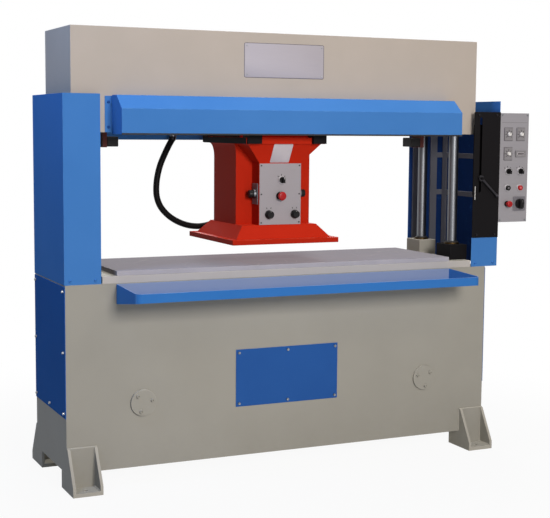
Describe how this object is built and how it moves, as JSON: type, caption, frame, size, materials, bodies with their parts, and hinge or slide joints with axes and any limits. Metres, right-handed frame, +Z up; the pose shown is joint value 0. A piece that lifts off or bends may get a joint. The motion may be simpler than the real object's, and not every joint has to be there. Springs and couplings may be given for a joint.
{
  "type": "travelling head cutting press",
  "caption": "Free-standing die cutting press: a travelling red head rolls along a lifting beam on chrome columns above a flat cutting board, with a hydraulic base, guards and a control box.",
  "frame": {"origin": "on the floor, at the middle of the four anchor bolt holes", "axes": "+Z up, +X along the press towards the control box, +Y from the operator's side to the back"},
  "size_m": [2.22, 0.828, 1.871],
  "materials": {
    "beige_paint": "semi-gloss enamel",
    "blue_paint": "semi-gloss enamel",
    "red_paint": "semi-gloss enamel",
    "grey_paint": "matt enamel",
    "black_paint": "satin enamel",
    "brown_paint": "red-brown primer",
    "box_paint": "semi-gloss enamel",
    "panel_aluminium": "anodised, satin",
    "board_nylon": "planed nylon",
    "steel": "machined",
    "chrome": "ground hard chrome",
    "brass": "turned",
    "rubber": "matt",
    "black_plastic": "moulded, glossy",
    "white_plastic": "moulded, satin",
    "red_plastic": "moulded, glossy"
  },
  "bodies": {
    "base": {"base_frame": "beige_paint", "feet": "beige_paint", "bed_plate": "beige_paint", "cutting_board": "board_nylon", "front_tray": "blue_paint", "access_cover": "blue_paint", "side_covers": "blue_paint", "left_guard": "blue_paint", "right_guard": "blue_paint", "guard_straps": "grey_paint", "setting_panel": "black_paint", "control_box": "box_paint", "control_plate": "panel_aluminium", "counter": "black_plastic", "column_bushes": "brass", "oil_tank": "grey_paint", "pump_motor": "grey_paint", "valve_block": "steel", "cylinders": "grey_paint", "pivot_pins": "beige_paint"},
    "beam": {"beam": "beige_paint", "columns": "chrome", "beam_guard_front": "blue_paint", "beam_guard_rear": "blue_paint", "rails": "steel", "stop_brackets": "brown_paint", "stop_buffers": "rubber", "lift_yokes": "steel", "piston_rods": "chrome", "hose": "rubber", "hose_gland_beam": "steel"},
    "head": {"head_body": "red_paint", "platen": "red_paint", "head_panel": "panel_aluminium", "trolley_hangers": "black_paint", "hose_gland_head": "steel"},
    "timer_knob_1": {"timer_knob_1": "white_plastic"},
    "timer_knob_2": {"timer_knob_2": "white_plastic"},
    "timer_knob_3": {"timer_knob_3": "white_plastic"},
    "selector_left": {"selector_left": "black_plastic"},
    "selector_right": {"selector_right": "black_plastic"},
    "start_button": {"start_button": "black_plastic"},
    "stop_button": {"stop_button": "red_plastic"},
    "emergency_stop": {"emergency_stop": "red_plastic"},
    "main_switch": {"main_switch": "black_plastic"},
    "head_selector": {"head_selector": "black_plastic"},
    "head_stop_button": {"head_stop_button": "red_plastic"},
    "head_knob_left": {"head_knob_left": "black_plastic"},
    "head_knob_right": {"head_knob_right": "black_plastic"},
    "side_button_left": {"side_button_left": "black_plastic"},
    "side_button_right": {"side_button_right": "black_plastic"},
    "wheel_front_left": {"wheel_front_left": "steel"},
    "wheel_front_right": {"wheel_front_right": "steel"},
    "wheel_rear_left": {"wheel_rear_left": "steel"},
    "wheel_rear_right": {"wheel_rear_right": "steel"},
    "crank_left": {"crank_left": "steel"},
    "crank_right": {"crank_right": "steel"},
    "tie_rod": {"tie_rod": "steel"},
    "setting_clamp": {"setting_clamp": "black_paint"},
    "clamp_lever": {"clamp_lever": "steel"}
  },
  "joints": [
    {"name": "beam_lift", "type": "slide", "parent": "base", "child": "beam", "axis": [0, 0, 1], "range_m": [-0.075, 0]},
    {"name": "head_travel", "type": "slide", "parent": "beam", "child": "head", "axis": [1, 0, 0], "range_m": [-0.49, 0.55], "deforming": ["hose"]},
    {"name": "wheel_front_left_roll", "type": "hinge", "parent": "head", "child": "wheel_front_left", "pos_m": [-0.182, -0.22, 1.53], "axis": [0, 1, 0], "continuous": true},
    {"name": "wheel_front_right_roll", "type": "hinge", "parent": "head", "child": "wheel_front_right", "pos_m": [0.122, -0.22, 1.53], "axis": [0, 1, 0], "continuous": true},
    {"name": "wheel_rear_left_roll", "type": "hinge", "parent": "head", "child": "wheel_rear_left", "pos_m": [-0.182, 0.22, 1.53], "axis": [0, 1, 0], "continuous": true},
    {"name": "wheel_rear_right_roll", "type": "hinge", "parent": "head", "child": "wheel_rear_right", "pos_m": [0.122, 0.22, 1.53], "axis": [0, 1, 0], "continuous": true},
    {"name": "crank_left_swing", "type": "hinge", "parent": "base", "child": "crank_left", "pos_m": [-0.673, -0.213, 0.343], "axis": [0, 1, 0], "range_deg": [-26, 1]},
    {"name": "crank_right_swing", "type": "hinge", "parent": "base", "child": "crank_right", "pos_m": [0.673, -0.213, 0.343], "axis": [0, 1, 0], "range_deg": [-1, 26]},
    {"name": "tie_rod_slide", "type": "slide", "parent": "base", "child": "tie_rod", "axis": [1, 0, 0], "range_m": [-0.001, 0.027]},
    {"name": "clamp_slide", "type": "slide", "parent": "base", "child": "setting_clamp", "axis": [0, 0, 1], "range_m": [-0.057, 0.27]},
    {"name": "lever_turn", "type": "hinge", "parent": "setting_clamp", "child": "clamp_lever", "pos_m": [0.956, -0.255, 1.25], "axis": [0, 1, 0], "range_deg": [0, 45]},
    {"name": "timer_knob_1_turn", "type": "hinge", "parent": "base", "child": "timer_knob_1", "pos_m": [1.107, -0.25, 1.452], "axis": [0, 1, 0], "range_deg": [-150, 150]},
    {"name": "timer_knob_2_turn", "type": "hinge", "parent": "base", "child": "timer_knob_2", "pos_m": [1.175, -0.25, 1.452], "axis": [0, 1, 0], "range_deg": [-150, 150]},
    {"name": "timer_knob_3_turn", "type": "hinge", "parent": "base", "child": "timer_knob_3", "pos_m": [1.107, -0.25, 1.362], "axis": [0, 1, 0], "range_deg": [-150, 150]},
    {"name": "selector_left_turn", "type": "hinge", "parent": "base", "child": "selector_left", "pos_m": [1.107, -0.25, 1.281], "axis": [0, 1, 0], "range_deg": [-45, 45]},
    {"name": "selector_right_turn", "type": "hinge", "parent": "base", "child": "selector_right", "pos_m": [1.175, -0.25, 1.281], "axis": [0, 1, 0], "range_deg": [-45, 45]},
    {"name": "main_switch_turn", "type": "hinge", "parent": "base", "child": "main_switch", "pos_m": [1.175, -0.25, 1.13], "axis": [0, 1, 0], "range_deg": [0, 90]},
    {"name": "start_button_press", "type": "slide", "parent": "base", "child": "start_button", "axis": [0, 1, 0], "range_m": [0, 0.004], "stiffness_N_per_m": 600, "springref_m": -0.002},
    {"name": "stop_button_press", "type": "slide", "parent": "base", "child": "stop_button", "axis": [0, 1, 0], "range_m": [0, 0.004], "stiffness_N_per_m": 600, "springref_m": -0.002},
    {"name": "emergency_stop_press", "type": "slide", "parent": "base", "child": "emergency_stop", "axis": [0, 1, 0], "range_m": [0, 0.005], "stiffness_N_per_m": 900, "springref_m": -0.002},
    {"name": "head_selector_turn", "type": "hinge", "parent": "head", "child": "head_selector", "pos_m": [-0.025, -0.195, 1.25], "axis": [0, 1, 0], "range_deg": [-45, 45]},
    {"name": "head_knob_left_turn", "type": "hinge", "parent": "head", "child": "head_knob_left", "pos_m": [-0.084, -0.195, 1.102], "axis": [0, 1, 0], "range_deg": [-135, 135]},
    {"name": "head_knob_right_turn", "type": "hinge", "parent": "head", "child": "head_knob_right", "pos_m": [0.038, -0.195, 1.102], "axis": [0, 1, 0], "range_deg": [-135, 135]},
    {"name": "head_stop_button_press", "type": "slide", "parent": "head", "child": "head_stop_button", "axis": [0, 1, 0], "range_m": [0, 0.005], "stiffness_N_per_m": 900, "springref_m": -0.002},
    {"name": "side_button_left_press", "type": "slide", "parent": "head", "child": "side_button_left", "axis": [1, 0, 0], "range_m": [0, 0.006], "stiffness_N_per_m": 700, "springref_m": -0.002},
    {"name": "side_button_right_press", "type": "slide", "parent": "head", "child": "side_button_right", "axis": [-1, 0, 0], "range_m": [0, 0.006], "stiffness_N_per_m": 700, "springref_m": -0.002}
  ],
  "couplings": [
    {"joint": "wheel_front_left_roll", "follows": "head_travel", "rad_per_m": 28.571},
    {"joint": "wheel_front_right_roll", "follows": "head_travel", "rad_per_m": 28.571},
    {"joint": "wheel_rear_left_roll", "follows": "head_travel", "rad_per_m": 28.571},
    {"joint": "wheel_rear_right_roll", "follows": "head_travel", "rad_per_m": 28.571},
    {"joint": "crank_left_swing", "follows": "beam_lift", "rad_per_m": 5.7589},
    {"joint": "crank_right_swing", "follows": "beam_lift", "rad_per_m": -5.7589},
    {"joint": "tie_rod_slide", "follows": "beam_lift", "ratio": -0.3429}
  ]
}
